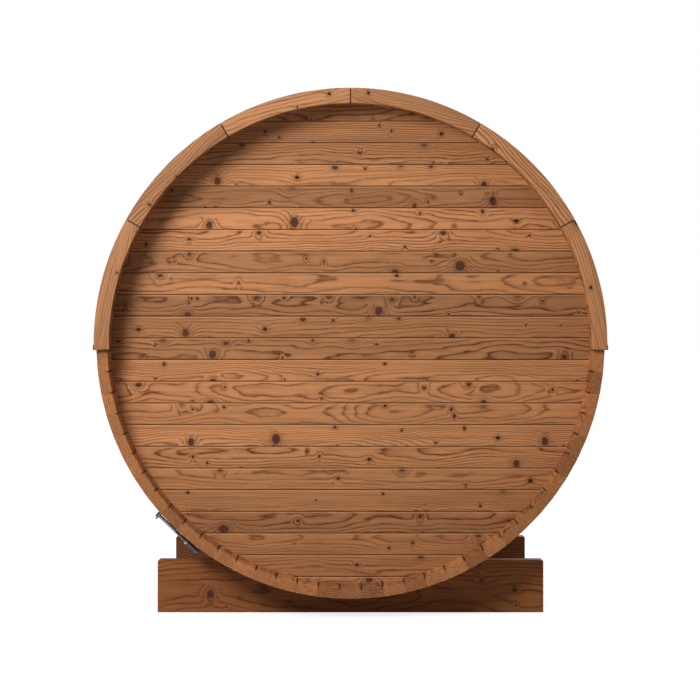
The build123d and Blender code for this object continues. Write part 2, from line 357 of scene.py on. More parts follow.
def knotted(n, colour, place, big, pin):
    """A wood colour with its knots added, and 1 inside the knots."""
    big_ratio, big_here = big
    pin_ratio, pin_here = pin
    halo = n.math(
        "MAXIMUM", n.math("MULTIPLY", fade(n, big_ratio, 1.7), big_here),
        n.math("MULTIPLY", fade(n, pin_ratio, 2.0), n.math("MULTIPLY", pin_here, 0.85)),
    )
    colour = n.mix(n.math("MULTIPLY", halo, 0.75), colour, knot_halo)
    mottle = n.noise(n.scaled(place, 130, 200, 60), detail=3.0, roughness=0.6)
    heart = n.mix(n.between(mottle, 0.35, 0.65), knot_heart_dark, knot_heart_pale)
    rim = n.math("MULTIPLY", n.between(big_ratio, 0.72, 0.95), n.between(big_ratio, 1.16, 1.0))
    heart = n.mix(n.math("MULTIPLY", rim, 0.6), heart, knot_rim)
    core = n.math("MULTIPLY", n.between(big_ratio, 1.2, 0.85), big_here)
    pin_core = n.math("MULTIPLY", n.between(pin_ratio, 1.25, 0.75), pin_here)
    colour = n.mix(pin_core, n.mix(core, colour, heart), pin_knot)
    return colour, n.math("MAXIMUM", core, pin_core)


def edged(n, colour, across, edge, groove):
    """A board's colour with a painted highlight on the upper arris, painted shade on the lower one and
    painted shade in the grooves.
    """
    from_top, from_foot = n.math("SUBTRACT", edge, across), n.math("ADD", edge, across)
    # Painted highlight along the upper arris
    colour = n.mix(n.between(from_top, 0.0080, 0.0035, 0.0, 0.42), colour, painted_arris_highlight)
    # Painted shade along the lower arris
    colour = n.mix(n.between(from_foot, 0.0040, 0.0015, 0.0, 0.60), colour, painted_arris_shade)
    # Painted shade in the grooves and joints
    return n.mix(n.math("MULTIPLY", groove, 0.8), colour, painted_groove_shade)


def softwood():
    """Node group for knotty heat-treated softwood, drawn on a plank's own coordinates:
    metres along the grain, across the face and into the thickness, and the plank's number."""
    tree = bpy.data.node_groups.new("knotty_softwood", "ShaderNodeTree")
    for direction, kind, names in (
        ("INPUT", "NodeSocketVector", ["Plank"]),
        ("INPUT", "NodeSocketColor", ["Early wood", "Late wood"]),
        ("INPUT", "NodeSocketFloat", ["Number", "Tone spread", "Knot share", "Ring contrast", "Pith spread"]),
        # Groove carries where painted shade goes in grooves and joints
        ("INPUT", "NodeSocketFloat", ["Edge", "Groove"]),
        ("OUTPUT", "NodeSocketColor", ["Colour"]),
        ("OUTPUT", "NodeSocketFloat", ["Roughness", "Height"]),
    ):
        for name in names:
            tree.interface.new_socket(name, in_out=direction, socket_type=kind)
    n = Nodes(tree)
    given = tree.nodes.new("NodeGroupInput").outputs
    result = tree.nodes.new("NodeGroupOutput").inputs

    start, side_chance, depth_chance = n.chances(given["Number"])
    spacing_chance, tone_chance, figure_chance = n.chances(n.math("ADD", given["Number"], 0.5))
    along, across, depth = n.separate(given["Plank"])
    log_length = 43.0
    along = n.math("MULTIPLY_ADD", start, log_length, along)
    place = n.combine(along, across, depth)
    big, pin = ragged_knots(n, along, across, place, given["Knot share"])
    radius = pith_distance(
        n, along, across, depth, place, start, side_chance, depth_chance, given["Pith spread"],
    )
    late = late_wood_share(n, radius, place, spacing_chance, big, pin)

    fibre = n.noise(n.scaled(place, 16, 420, 420))
    streak = n.sway(n.scaled(place, 2.2, 80, 80), detail=4.0, roughness=0.6)
    cloud = n.noise(n.scaled(place, 3.0, 11, 11))
    strength = n.math("MULTIPLY_ADD", figure_chance, 0.40, 0.60)
    strength = n.math("MULTIPLY", strength, n.between(cloud, 0.3, 0.62, 0.6, 1.0))
    strength = n.math("MULTIPLY", strength, given["Ring contrast"])
    dark = n.math("MULTIPLY_ADD", streak, 1.2, n.math("MULTIPLY", late, strength))
    dark = n.math("ADD", dark, 0.10)
    dark = n.math("MULTIPLY_ADD", n.math("SUBTRACT", fibre, 0.5), 0.45, dark, clamp=True)
    colour = n.mix(dark, given["Early wood"], given["Late wood"])
    tone_width = n.math("MULTIPLY", given["Tone spread"], 2.0)
    tone = n.math("MULTIPLY", n.math("SUBTRACT", tone_chance, 0.5), tone_width)
    tone = n.math("MULTIPLY_ADD", n.math("SUBTRACT", cloud, 0.5), 0.35, n.math("ADD", tone, 1.0))
    colour = n.add("ShaderNodeVectorMath", {0: colour, "Scale": tone}, operation="SCALE")
    colour, in_knot = knotted(n, colour, place, big, pin)
    colour = edged(n, colour, across, given["Edge"], given["Groove"])

    rough = n.math("MULTIPLY_ADD", dark, -0.08, 0.62)
    height = n.math("MULTIPLY_ADD", fibre, 0.35, n.math("MULTIPLY", late, -0.35))
    height = n.math("SUBTRACT", height, n.math("MULTIPLY", in_knot, 0.6))
    for name, output in (("Colour", colour), ("Roughness", rough), ("Height", height)):
        tree.links.new(output, result[name])
    return tree


knotty_softwood = softwood()


def new_material(name):
    """Empty material with its nodes, ready for a surface."""
    material = bpy.data.materials.new(name)
    material.use_nodes = True
    material.node_tree.nodes.clear()
    return material, Nodes(material.node_tree)


def cover(n, shader, output="ShaderNodeOutputMaterial"):
    """Joins a shader to the output that shows it."""
    n.tree.links.new(shader, n.tree.nodes.new(output).inputs["Surface"])


def wood(name, lay, early, late, tone_spread=0.2, knot_share=0.3, ring_contrast=1.0, pith_spread=0.19,
         edge=plain_edges, grooves=None):
    """Oiled softwood, on planks that lay() finds in the object's coordinates."""
    material, n = new_material(name)
    place = n.add("ShaderNodeTexCoord", output="Object")
    plank, number = lay(n, place)
    values = {
        "Plank": plank, "Number": number, "Early wood": (*early, 1), "Late wood": (*late, 1),
        "Tone spread": tone_spread, "Ring contrast": ring_contrast, "Pith spread": pith_spread, "Edge": edge,
        "Knot share": knot_share(n, place) if callable(knot_share) else knot_share,
        "Groove": grooves(n, place) if grooves else 0.0,
    }
    colour = n.add("ShaderNodeGroup", values, "Colour", node_tree=knotty_softwood)
    figure = colour.node.outputs
    bump = n.add("ShaderNodeBump", {"Strength": 0.35, "Distance": 0.0006, "Height": figure["Height"]})
    surface = {
        "Base Color": colour, "Roughness": figure["Roughness"], "Normal": bump, "Specular IOR Level": 0.14,
    }
    cover(n, n.add("ShaderNodeBsdfPrincipled", surface))
    return material


def clear_of_ends(n, place):
    """Share of knots in the staves, with none where their ends are cut."""
    along = n.math("ABSOLUTE", n.separate(place)[1])
    return n.math("MULTIPLY", n.math("LESS_THAN", along, knot_free_end), 0.25)


def far_end(n, y, step):
    """A number to add for pieces at the door end, so that the two ends differ."""
    return n.math("MULTIPLY", n.math("GREATER_THAN", y, 0.0), float(step))


def wall_boards_lay(n, place):
    """Level boards of the end walls, one above the other."""
    x, y, z = n.separate(place)
    rows = n.math("DIVIDE", n.math("SUBTRACT", z, axis_height + seam_height), board_pitch)
    row = n.math("FLOOR", rows)
    across = n.math("MULTIPLY", n.math("SUBTRACT", rows, n.math("ADD", row, 0.5)), board_pitch)
    depth = n.math("SUBTRACT", n.math("ABSOLUTE", y), wall_depth_start)
    return n.combine(x, across, depth), n.math("ADD", row, far_end(n, y, front_wall_step))


def round_the_barrel(n, place):
    """Staves passed from straight below the axis, distance from the axis, and place along the barrel."""
    x, y, z = n.separate(place)
    below = n.math("SUBTRACT", axis_height, z)
    steps = n.math("DIVIDE", n.math("ARCTAN2", x, below), stave_pitch)
    return steps, n.length(x, below), y


def staves_lay(n, place):
    """Staves round the barrel, with the grain along it."""
    steps, radius, y = round_the_barrel(n, place)
    stave = n.math("ROUND", steps)
    across = n.math("MULTIPLY", n.math("SUBTRACT", steps, stave), stave_pitch * barrel_radius)
    return n.combine(y, across, n.math("SUBTRACT", radius, stave_depth_start)), stave


def from_whole(n, steps):
    """Distance to the nearest whole number."""
    return n.math("ABSOLUTE", n.math("SUBTRACT", steps, n.math("ROUND", steps)))


def stave_painted_groove_shade(n, place):
    """Where painted shade goes: 1 in the grooves between the staves on the inside and along their eased edges
    outside, 0 elsewhere.
    """
    steps, radius, _ = round_the_barrel(n, place)
    from_joint = n.math("SUBTRACT", 0.5, from_whole(n, steps))
    from_joint = n.math("MULTIPLY", from_joint, stave_pitch * barrel_radius)
    near_inner_face = n.between(radius, inner_face + 0.011, inner_face + 0.006)
    inside = n.math("MULTIPLY", n.between(from_joint, *inner_groove, 0.0, 0.8), near_inner_face)
    near_outer_face = n.between(radius, barrel_radius - 0.005, barrel_radius - 0.003)
    outside = n.math("MULTIPLY", n.between(from_joint, *outer_ease), near_outer_face)
    return n.math("MAXIMUM", inside, outside)


def trims_passed(n, x, above):
    """Trims passed round the end, from the left foot of their arch."""
    turn = n.math("ARCTAN2", x, above)
    return n.math("DIVIDE", n.math("ADD", turn, trim_span / 2), trim_pitch)


def trims_lay(n, place):
    """Curved trims over the barrel's end, each cut from a straight board along its chord."""
    x, y, z = n.separate(place)
    above = n.math("SUBTRACT", z, axis_height)
    number = n.math("FLOOR", trims_passed(n, x, above))
    middle = n.math("MULTIPLY_ADD", number, trim_pitch, (trim_pitch - trim_span) / 2)
    sine, cosine = n.math("SINE", middle), n.math("COSINE", middle)
    along = n.math("SUBTRACT", n.math("MULTIPLY", x, cosine), n.math("MULTIPLY", above, sine))
    across = n.math("ADD", n.math("MULTIPLY", x, sine), n.math("MULTIPLY", above, cosine))
    across = n.math("SUBTRACT", across, (trim_inner + trim_outer) / 2)
    across = n.math("ADD", across, trim_across_shift)
    depth = n.math("SUBTRACT", n.math("ABSOLUTE", y), trim_depth_start)
    return n.combine(along, across, depth), n.math("ADD", number, far_end(n, y, front_trim_step))


def trim_joint_painted_shade(n, place):
    """Where painted shade goes: 1 along the ends of the curved trims, 0 elsewhere."""
    x, _, z = n.separate(place)
    steps = trims_passed(n, x, n.math("SUBTRACT", z, axis_height))
    from_joint = n.math("MULTIPLY", from_whole(n, steps), trim_pitch * trim_outer)
    return n.between(from_joint, *trim_end_line)


def beams_lay(n, place):
    """The two saddle beams, with level grain."""
    x, y, z = n.separate(place)
    number = n.math("ADD", far_end(n, y, front_beam_step), beam_number)
    depth = n.math("SUBTRACT", n.math("ABSOLUTE", y), beam_depth_start)
    return n.combine(x, n.math("SUBTRACT", z, beam_across_start), depth), number


def door_boards_lay(n, place):
    """Upright boards of the door leaf."""
    x, y, z = n.separate(place)
    steps = n.math("DIVIDE", n.math("ADD", x, door_half), door_board)
    board = n.math("FLOOR", steps)
    across = n.math("MULTIPLY", n.math("SUBTRACT", steps, n.math("ADD", board, 0.5)), door_board)
    return n.combine(z, across, y), n.math("ADD", board, door_board_number)


def door_frame_lay(n, place):
    """Upright jambs, and a level head and sill between them."""
    x, y, z = n.separate(place)
    upright = n.math("GREATER_THAN", n.math("ABSOLUTE", x), door_half + leaf_gap)
    level = n.math("SUBTRACT", 1.0, upright)
    along = n.math("ADD", n.math("MULTIPLY", z, upright), n.math("MULTIPLY", x, level))
    across = n.math("ADD", n.math("MULTIPLY", x, upright), n.math("MULTIPLY", z, level))
    number = n.math("MULTIPLY_ADD", upright, n.math("SIGN", x), frame_number)
    return n.combine(along, across, y), number


def handle_lay(n, place):
    """One upright piece."""
    x, y, z = n.separate(place)
    return n.combine(z, x, y), handle_number


wall_wood = wood(
    "heat_treated_wall_boards", wall_boards_lay, early_wood, late_wood,
    tone_spread=0.26, knot_share=0.42, edge=board_pitch / 2,
)
stave_wood = wood(
    "heat_treated_staves", staves_lay, (0.438, 0.176, 0.064), (0.105, 0.033, 0.010),
    tone_spread=0.27, knot_share=clear_of_ends, pith_spread=0.07, grooves=stave_painted_groove_shade,
)
trim_wood = wood(
    "heat_treated_trims", trims_lay, trim_early_wood, trim_late_wood, knot_share=0.2, grooves=trim_joint_painted_shade,
)
beam_wood = wood("saddle_beam_wood", beams_lay, (0.300, 0.106, 0.033), (0.070, 0.020, 0.006))
door_wood = wood("heat_treated_door_boards", door_boards_lay, early_wood, late_wood, ring_contrast=0.85)
frame_wood = wood("door_frame_wood", door_frame_lay, trim_early_wood, trim_late_wood, knot_share=0.15)
handle_wood = wood("handle_wood", handle_lay, trim_early_wood, trim_late_wood, knot_share=0.0)


def fitting_tones(n, place, colour):
    """Dulls the steel of a tensioner's lug and sleeve, and brightens the nut before the sleeve as a painted
    highlight.
    """
    x, _, z = n.separate(place)
    down = n.math("MULTIPLY", n.math("SUBTRACT", axis_height, z), cos(tensioner_turn))
    along = n.math("MULTIPLY_ADD", x, sin(tensioner_turn), down)
    sleeve = n.between(along, sleeve_place - 0.001, sleeve_place + 0.001)
    lug = n.between(along, lug_place + 0.006, lug_place + 0.003, 0.0, 0.7)
    colour = n.mix(n.math("MAXIMUM", sleeve, lug), colour, dull_steel)
    # Painted highlight: the nut before the sleeve gets a brighter steel colour
    nut_place = sleeve_place - nut_height
    nut = n.between(along, nut_place + 0.002, nut_place + 0.003)
    return n.mix(n.math("SUBTRACT", nut, sleeve), colour, nut_painted_highlight)


def drawn_steel(name, fittings=False):
    """Stainless steel with fine drawing marks: plain, or with the tones of the tensioners' fittings and their
    painted highlight.
    """
    material, n = new_material(name)
    place = n.add("ShaderNodeTexCoord", output="Object")
    marks = n.noise(n.scaled(place, 900, 900, 900))
    stain = n.noise(n.scaled(place, 25, 25, 25), detail=3.0)
    colour = n.mix(stain, steel_dark, steel_pale)
    if fittings:
        colour = fitting_tones(n, place, colour)
    rough = n.math("ADD", n.math("MULTIPLY", marks, 0.12), n.between(stain, 0.3, 0.7, 0.20, 0.30))
    bump = n.add("ShaderNodeBump", {"Strength": 0.15, "Distance": 0.0002, "Height": marks})
    surface = {"Base Color": colour, "Metallic": 1.0, "Roughness": rough, "Normal": bump}
    cover(n, n.add("ShaderNodeBsdfPrincipled", surface))
    return material


def coated_sheet():
    """Black coated eave sheet, satin, with a faint orange-peel surface."""
    material, n = new_material("black_coated_sheet")
    place = n.add("ShaderNodeTexCoord", output="Object")
    peel = n.noise(n.scaled(place, 420, 420, 420), detail=1.0)
    dust = n.noise(n.scaled(place, 9, 4, 9), detail=4.0)
    colour = n.mix(n.between(dust, 0.45, 0.75), coat_black, coat_dusty)
    bump = n.add("ShaderNodeBump", {"Strength": 0.2, "Distance": 0.0003, "Height": peel})
    surface = {"Base Color": colour, "Roughness": n.between(dust, 0.3, 0.8, 0.34, 0.50), "Normal": bump}
    cover(n, n.add("ShaderNodeBsdfPrincipled", surface))
    return material


def tab_tone(n, place):
    """A random tone for each shingle tab, found by its course, its side and its place along the roof."""
    x, y, z = n.separate(place)
    turn = n.math("ARCTAN2", n.math("ABSOLUTE", x), n.math("SUBTRACT", z, axis_height))
    up = n.math("MULTIPLY", n.math("SUBTRACT", eave_turn, turn), roof_radius)
    course = n.math("FLOOR", n.math("DIVIDE", up, course_pitch))
    shift = n.math("MULTIPLY", n.math("MODULO", n.math("ABSOLUTE", course), 2.0), 0.5)
    tab = n.math("FLOOR", n.math("ADD", n.math("DIVIDE", y, tab_width), shift))
    course_step, side_step = 17.0, 300.0
    number = n.math("MULTIPLY_ADD", n.math("SIGN", x), side_step, tab)
    number = n.math("MULTIPLY_ADD", course, course_step, number)
    return n.chances(number)[0]


def mineral_felt():
    """Black bitumen with crushed mineral on it."""
    material, n = new_material("mineral_bitumen")
    place = n.add("ShaderNodeTexCoord", output="Object")
    grit = n.noise(n.scaled(place, 520, 520, 520), detail=3.0, roughness=0.7)
    patch = n.noise(n.scaled(place, 7, 7, 7), detail=3.0)
    colour = n.mix(n.between(grit, 0.42, 0.68), felt_black, felt_grit)
    colour = n.mix(n.between(patch, 0.4, 0.75, 0.0, 0.35), colour, felt_patch)
    tone = n.between(tab_tone(n, place), 0.0, 1.0, 0.0, 0.3)
    colour = n.mix(tone, colour, felt_pale_tab)
    bump = n.add("ShaderNodeBump", {"Strength": 0.7, "Distance": 0.0012, "Height": grit})
    surface = {"Base Color": colour, "Roughness": 0.92, "Normal": bump, "Specular IOR Level": 0.3}
    cover(n, n.add("ShaderNodeBsdfPrincipled", surface))
    return material


stainless = drawn_steel("drawn_stainless_steel")
fittings_steel = drawn_steel("tensioner_steel", fittings=True)
black_metal = coated_sheet()
bitumen = mineral_felt()

finishes = {
    "stave_wood": stave_wood, "wall_wood": wall_wood, "trim_wood": trim_wood, "beam_wood": beam_wood,
    "stainless": stainless, "black_metal": black_metal, "bitumen": bitumen,
}
node_finishes = {"door_leaf": door_wood, "door_frame": frame_wood, "door_handle": handle_wood}
for subpart in frame["record"]["subparts"]:
    node = subpart["node"]
    mesh = frame["nodes"][node].data
    mesh.materials.clear()
    mesh.materials.append(node_finishes.get(node, finishes[subpart["material_slot"]]))


def new_piece(name, bm, material, replaced, sharp_angle=None):
    """Turns a bmesh into a piece of the sauna that rides on its one body, in place of the replaced nodes."""
    bmesh.ops.recalc_face_normals(bm, faces=bm.faces)
    mesh = bpy.data.meshes.new(name)
    bm.to_mesh(mesh)
    bm.free()
    mesh.materials.append(material)
    if sharp_angle:
        mesh.polygons.foreach_set("use_smooth", [True] * len(mesh.polygons))
        mesh.set_sharp_from_angle(angle=radians(sharp_angle))
    piece = bpy.data.objects.new(name, mesh)
    bpy.context.scene.collection.objects.link(piece)
    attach(piece, "root")
    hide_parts(*replaced)


def join(bm, part):
    """Adds a bmesh to another one and frees it."""
    mesh = bpy.data.meshes.new("part")
    part.to_mesh(mesh)
    part.free()
    bm.from_mesh(mesh)
    bpy.data.meshes.remove(mesh)


def moved_vertices(extruded):
    """The new vertices of an extrusion."""
    return [item for item in extruded["geom"] if isinstance(item, bmesh.types.BMVert)]


def round_edges(bm, edges, size, segments=2):
    """Eases edges with a rounded bevel."""
    bmesh.ops.bevel(
        bm, geom=edges, offset=size, offset_type="OFFSET", segments=segments, profile=0.5,
        affect="EDGES", material=-1, clamp_overlap=True,
    )


def cut_off(bm, point, outward):
    """Cuts off what lies outside a plane, and closes the cut."""
    on_plane = 1e-6
    if all((vertex.co - point).dot(outward) < on_plane for vertex in bm.verts):
        return
    geometry = bm.verts[:] + bm.edges[:] + bm.faces[:]
    cut = bmesh.ops.bisect_plane(bm, geom=geometry, plane_co=point, plane_no=outward, clear_outer=True)
    edges = [item for item in cut["geom_cut"] if isinstance(item, bmesh.types.BMEdge)]
    bmesh.ops.holes_fill(bm, edges=edges, sides=0)


def wall_board(face, inward, left, right, low, high):
    """Tongued and grooved board of an end wall, cut to the round of the staves."""
    low, high = low + board_slit / 2, high - board_slit / 2
    tongue_end = tongue_start + tongue_thickness
    back = wall_thickness
    outline = [
        (0, low + board_bevel), (board_bevel, low), (tongue_start, low),
        (tongue_start, low + groove_depth), (tongue_end, low + groove_depth), (tongue_end, low),
        (back, low), (back, high), (tongue_end, high), (tongue_end, high + tongue_height),
        (tongue_start, high + tongue_height), (tongue_start, high), (board_bevel, high),
        (0, high - board_bevel),
    ]
    bm = bmesh.new()
    corners = [bm.verts.new((left, face + inward * depth, axis_height + height)) for depth, height in outline]
    end = bm.faces.new(corners)
    extruded = bmesh.ops.extrude_face_region(bm, geom=[end], use_keep_orig=True)
    bmesh.ops.translate(bm, verts=moved_vertices(extruded), vec=(right - left, 0, 0))
    for stave in range(stave_count):
        turn = stave * stave_pitch
        outward = Vector((sin(turn), 0, -cos(turn)))
        cut_off(bm, barrel_axis + outward * wall_reach, outward)
        if not bm.verts:
            break
    return bm


def wall_rows():
    """Low and high edges of the wall's rows of boards, from the axis."""
    reach = wall_reach - least_board
    lowest = ceil((-reach - seam_height) / board_pitch)
    highest = floor((reach - seam_height) / board_pitch)
    seams = [seam_height + board_pitch * row for row in range(lowest, highest + 1)]
    edges = [-barrel_radius, *seams, barrel_radius]
    return list(zip(edges, edges[1:]))


def wall_piece(name, node, face, inward, sides=(-board_half_length, board_half_length),
               levels=(-past_barrel, past_barrel)):
    """Boards of one stretch of an end wall, between its sides and its level cuts."""
    low, high = levels
    bm = bmesh.new()
    for row_low, row_high in wall_rows():
        if row_high < low or row_low > high:
            continue
        board = wall_board(face, inward, *sides, row_low, row_high)
        cut_off(board, barrel_axis + Vector((0, 0, low)), Vector((0, 0, -1)))
        cut_off(board, barrel_axis + Vector((0, 0, high)), Vector((0, 0, 1)))
        join(bm, board)
    new_piece(name, bm, wall_wood, [node])


def back_wall_boards():
    """Closed end, all in full-width boards."""
    wall_piece("back_wall_boards", "back_wall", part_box("back_wall")[0].y, 1)


def front_wall_boards():
    """Door end, beside, over and under the door frame."""
    for name in ("left", "right", "over_door", "under_door"):
        node = f"front_wall_{name}"
        low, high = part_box(node)
        foot = low.z - axis_height if name == "over_door" else -past_barrel
        head = high.z - axis_height if name == "under_door" else past_barrel
        wall_piece(f"{node}_boards", node, high.y, -1, (low.x, high.x), (foot, head))


def trim_segment(start, end, face, thickness):
    """One curved trim: its section swept round the axis, with rounded edges on the face."""
    bm = bmesh.new()
    back = face + thickness
    section = [(trim_inner, face), (trim_outer, face), (trim_outer, back), (trim_inner, back)]
    corners = [bm.verts.new((radius, y, 0)) for radius, y in section]
    loop = [bm.edges.new((first, second)) for first, second in zip(corners, corners[1:] + corners[:1])]
    bmesh.ops.rotate(bm, verts=corners, cent=(0, 0, 0), matrix=Matrix.Rotation(start - pi / 2, 3, "Y"))
    bmesh.ops.spin(
        bm, geom=corners + loop, cent=(0, 0, 0), axis=(0, 1, 0), angle=end - start, steps=trim_steps,
    )
    bmesh.ops.holes_fill(bm, edges=[edge for edge in bm.edges if edge.is_boundary], sides=0)
    bmesh.ops.recalc_face_normals(bm, faces=bm.faces)
    on_face, sharp = 1e-5, radians(40)
    arrises = [
        edge for edge in bm.edges
        if all(abs(vertex.co.y - face) < on_face for vertex in edge.verts) and edge.calc_face_angle() > sharp
    ]
    round_edges(bm, arrises, trim_round, segments=3)
    bmesh.ops.translate(bm, verts=bm.verts, vec=barrel_axis)
    return bm


def cover_trims():
    """Six curved trims at each end, in a left and a right half like the solids."""
    opening = trim_gap / trim_outer
    half = trims_per_end // 2
    for end in ("back", "front"):
        for side, first in (("left", 0), ("right", half)):
            node = f"{end}_trims_{side}"
            low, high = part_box(node)
            face, thickness = (low.y, high.y - low.y) if end == "back" else (high.y, low.y - high.y)
            bm = bmesh.new()
            for index in range(first, first + half):
                start = -trim_span / 2 + index * trim_pitch
                join(bm, trim_segment(start + opening / 2, start + trim_pitch - opening / 2, face, thickness))
            new_piece(f"{node}_shaped", bm, trim_wood, [node], sharp_angle=40)


def wrap_round(bm, turn, side):
    """Bends flat roofing round the barrel: x runs up the slope from this turn off the ridge, z outwards."""
    for vertex in bm.verts:
        up, y, radius = vertex.co
        angle = turn - up / roof_radius
        vertex.co = (side * radius * sin(angle), y, axis_height + radius * cos(angle))


def flat_sheet(up, low_y, high_y, low_radius, high_radius, thickness, steps):
    """Flat strip of roofing: x from 0 up the slope, z its distance from the axis, which changes evenly."""
    bm = bmesh.new()
    bmesh.ops.create_grid(bm, x_segments=steps, y_segments=1, size=0.5)
    bmesh.ops.translate(bm, verts=bm.verts, vec=(0.5, 0.5, 0))
    bmesh.ops.scale(bm, verts=bm.verts, vec=(up, high_y - low_y, 1))
    for vertex in bm.verts:
        vertex.co.z = low_radius + (high_radius - low_radius) * vertex.co.x / up
    bmesh.ops.translate(bm, verts=bm.verts, vec=(0, low_y, 0))
    lifted = bmesh.ops.extrude_face_region(bm, geom=bm.faces[:], use_keep_orig=True)
    bmesh.ops.translate(bm, verts=moved_vertices(lifted), vec=(0, 0, thickness))
    return bm


def shingle_course(bm, course, side):
    """Tabs of one course, shifted by half a tab in every other course."""
    turn = eave_turn - course * course_pitch / roof_radius
    length = course_pitch + course_overlap
    edge = -shingle_end - tab_width + (course % 2) * tab_width / 2
    while edge < shingle_end:
        low = max(edge + tab_slot / 2, -shingle_end)
        high = min(edge + tab_width - tab_slot / 2, shingle_end)
        if high - low > tab_slot:
            tab = flat_sheet(
                length, low, high, shingle_low_radius, shingle_high_radius, shingle_thickness, tab_steps,
            )
            wrap_round(tab, turn, side)
            join(bm, tab)
        edge += tab_width


def ridge_cap(bm, low, high):
    """One cap laid across the ridge."""
    cap = flat_sheet(
        2 * ridge_cap_half, low, high, ridge_cap_radius, ridge_cap_radius, shingle_thickness, ridge_cap_steps,
    )
    wrap_round(cap, ridge_cap_half / roof_radius, 1)
    join(bm, cap)


def shingle_roof():
    """Shingled roof: underlay, courses up both sides and a row of caps along the ridge."""
    bm = bmesh.new()
    underlay = flat_sheet(
        2 * (eave_turn * roof_radius - underlay_margin), -shingle_end, shingle_end,
        underlay_radius, underlay_radius, underlay_thickness, underlay_steps,
    )
    wrap_round(underlay, eave_turn - underlay_margin / roof_radius, 1)
    join(bm, underlay)
    for side in (-1, 1):
        for course in range(course_count + 1):
            shingle_course(bm, course, side)
    pitch = 2 * shingle_end / ridge_cap_count
    for index in range(ridge_cap_count):
        low = -shingle_end + index * pitch
        ridge_cap(bm, low, low + pitch - ridge_cap_gap)
    new_piece("shingle_roof", bm, bitumen, ["roof_covering"], sharp_angle=25)


def turned_piece(points, sides=32):
    """Piece turned on the rod's axis, from (place, radius) points of its outline, closed at both ends."""
    bm = bmesh.new()
    outline = [(points[0][0], 0), *points, (points[-1][0], 0)]
    corners = [bm.verts.new((place, 0, rod_lift + radius)) for place, radius in outline]
    lines = [bm.edges.new(pair) for pair in zip(corners, corners[1:])]
    bmesh.ops.spin(
        bm, geom=corners + lines, cent=(0, 0, rod_lift), axis=(1, 0, 0), angle=2 * pi, steps=sides,
        use_merge=True,
    )
    bmesh.ops.remove_doubles(bm, verts=bm.verts, dist=1e-6)
    return bm


def plate(low, high, round_size):
    """Steel plate between two corners, with eased edges."""
    bm = bmesh.new()
    bmesh.ops.create_cube(bm, size=1)
    bmesh.ops.translate(bm, verts=bm.verts, vec=(0.5, 0.5, 0.5))
    bmesh.ops.scale(bm, verts=bm.verts, vec=[b - a for a, b in zip(low, high)])
    bmesh.ops.translate(bm, verts=bm.verts, vec=low)
    round_edges(bm, bm.edges[:], round_size)
    return bm


def hex_nut(start, height):
    """Hexagon nut round the rod, with eased edges at both ends."""
    bm = bmesh.new()
    bmesh.ops.create_cone(
        bm, cap_ends=True, segments=6, radius1=nut_radius, radius2=nut_radius, depth=height,
    )
    caps = [face.edges[:] for face in bm.faces if len(face.verts) == 6]
    round_edges(bm, [edge for cap in caps for edge in cap], nut_ease)
    bmesh.ops.rotate(bm, verts=bm.verts, cent=(0, 0, 0), matrix=Matrix.Rotation(pi / 2, 3, "Y"))
    bmesh.ops.translate(bm, verts=bm.verts, vec=(start + height / 2, 0, rod_lift))
    return bm


def washer(start):
    """Flat washer on the rod."""
    end = start + washer_thickness
    return turned_piece([
        (start, washer_radius - washer_ease), (start + washer_ease, washer_radius),
        (end - washer_ease, washer_radius), (end, washer_radius - washer_ease),
    ])


def threaded_rod():
    """Plain shank from the lug, and a cut thread on the stretch that the sleeve takes up."""
    points = [(lug_place, rod_radius), (thread_start - thread_lead, rod_radius)]
    place = thread_start
    while place < sleeve_place:
        points += [(place, rod_radius - thread_depth), (place + thread_pitch / 2, rod_radius)]
        place += thread_pitch
    return turned_piece(points, rod_sides)


def ribbed_sleeve():
    """Long round nut with turned ribs and a plain collar at each end."""
    start, end = sleeve_place, sleeve_place + sleeve_length
    rib_top, rib_foot = sleeve_radius - rib_drop, sleeve_radius - rib_depth
    points = [
        (start, sleeve_radius - sleeve_ease), (start + sleeve_ease, sleeve_radius),
        (start + collar_length, sleeve_radius),
    ]
    place = start + collar_length + sleeve_ease
    while place < end - collar_length - rib_pitch:
        points += [
            (place, rib_foot), (place + rib_pitch * 0.35, rib_foot),
            (place + rib_pitch * 0.5, rib_top), (place + rib_pitch * 0.85, rib_top),
        ]
        place += rib_pitch
    points += [
        (end - collar_length, sleeve_radius), (end - sleeve_ease, sleeve_radius),
        (end, sleeve_radius - sleeve_ease),
    ]
    return turned_piece(points, sleeve_sides)


def tensioner(end):
    """Lug, rod, nuts and sleeve that draw the hoop's ends together, at the lower left."""
    side = lug_half_width
    lug_back, lug_front = lug_place - lug_thickness / 2, lug_place + lug_thickness / 2
    foot_end = lug_back + foot_overlap
    web_start, web_end = sleeve_place + web_margin, sleeve_place + sleeve_length - web_margin
    bm = bmesh.new()
    for part in (
        plate((lug_back, -side, -lug_bedding), (lug_front, side, lug_top), lug_round),
        plate((lug_back - foot_length, -side, -lug_bedding), (foot_end, side, foot_thickness), plate_round),
        washer(lug_front),
        hex_nut(lug_back - end_nut_height, end_nut_height),
        threaded_rod(),
        hex_nut(sleeve_place - nut_height - nut_gap, nut_height),
        ribbed_sleeve(),
        plate((web_start, -web_half_width, web_low), (web_end, web_half_width, rod_lift), web_round),
        plate((sleeve_place, -side, strap_low), (web_end + web_margin, side, strap_high), plate_round),
    ):
        join(bm, part)
    outward = Vector((-cos(tensioner_turn), 0, -sin(tensioner_turn)))
    along = Vector((sin(tensioner_turn), 0, -cos(tensioner_turn)))
    across = outward.cross(along)
    turned = Matrix((along, across, outward)).transposed().to_4x4()
    middle = barrel_axis + outward * barrel_radius + Vector((0, -band_centre, 0))
    bmesh.ops.transform(bm, matrix=Matrix.Translation(middle) @ turned, verts=bm.verts)
    if end == "front":
        bmesh.ops.scale(bm, verts=bm.verts, vec=(1, -1, 1))
    node = f"tensioner_{end}"
    new_piece(f"{node}_fittings", bm, fittings_steel, [node], sharp_angle=35)


back_wall_boards()
front_wall_boards()
cover_trims()
shingle_roof()
for barrel_end in ("back", "front"):
    tensioner(barrel_end)


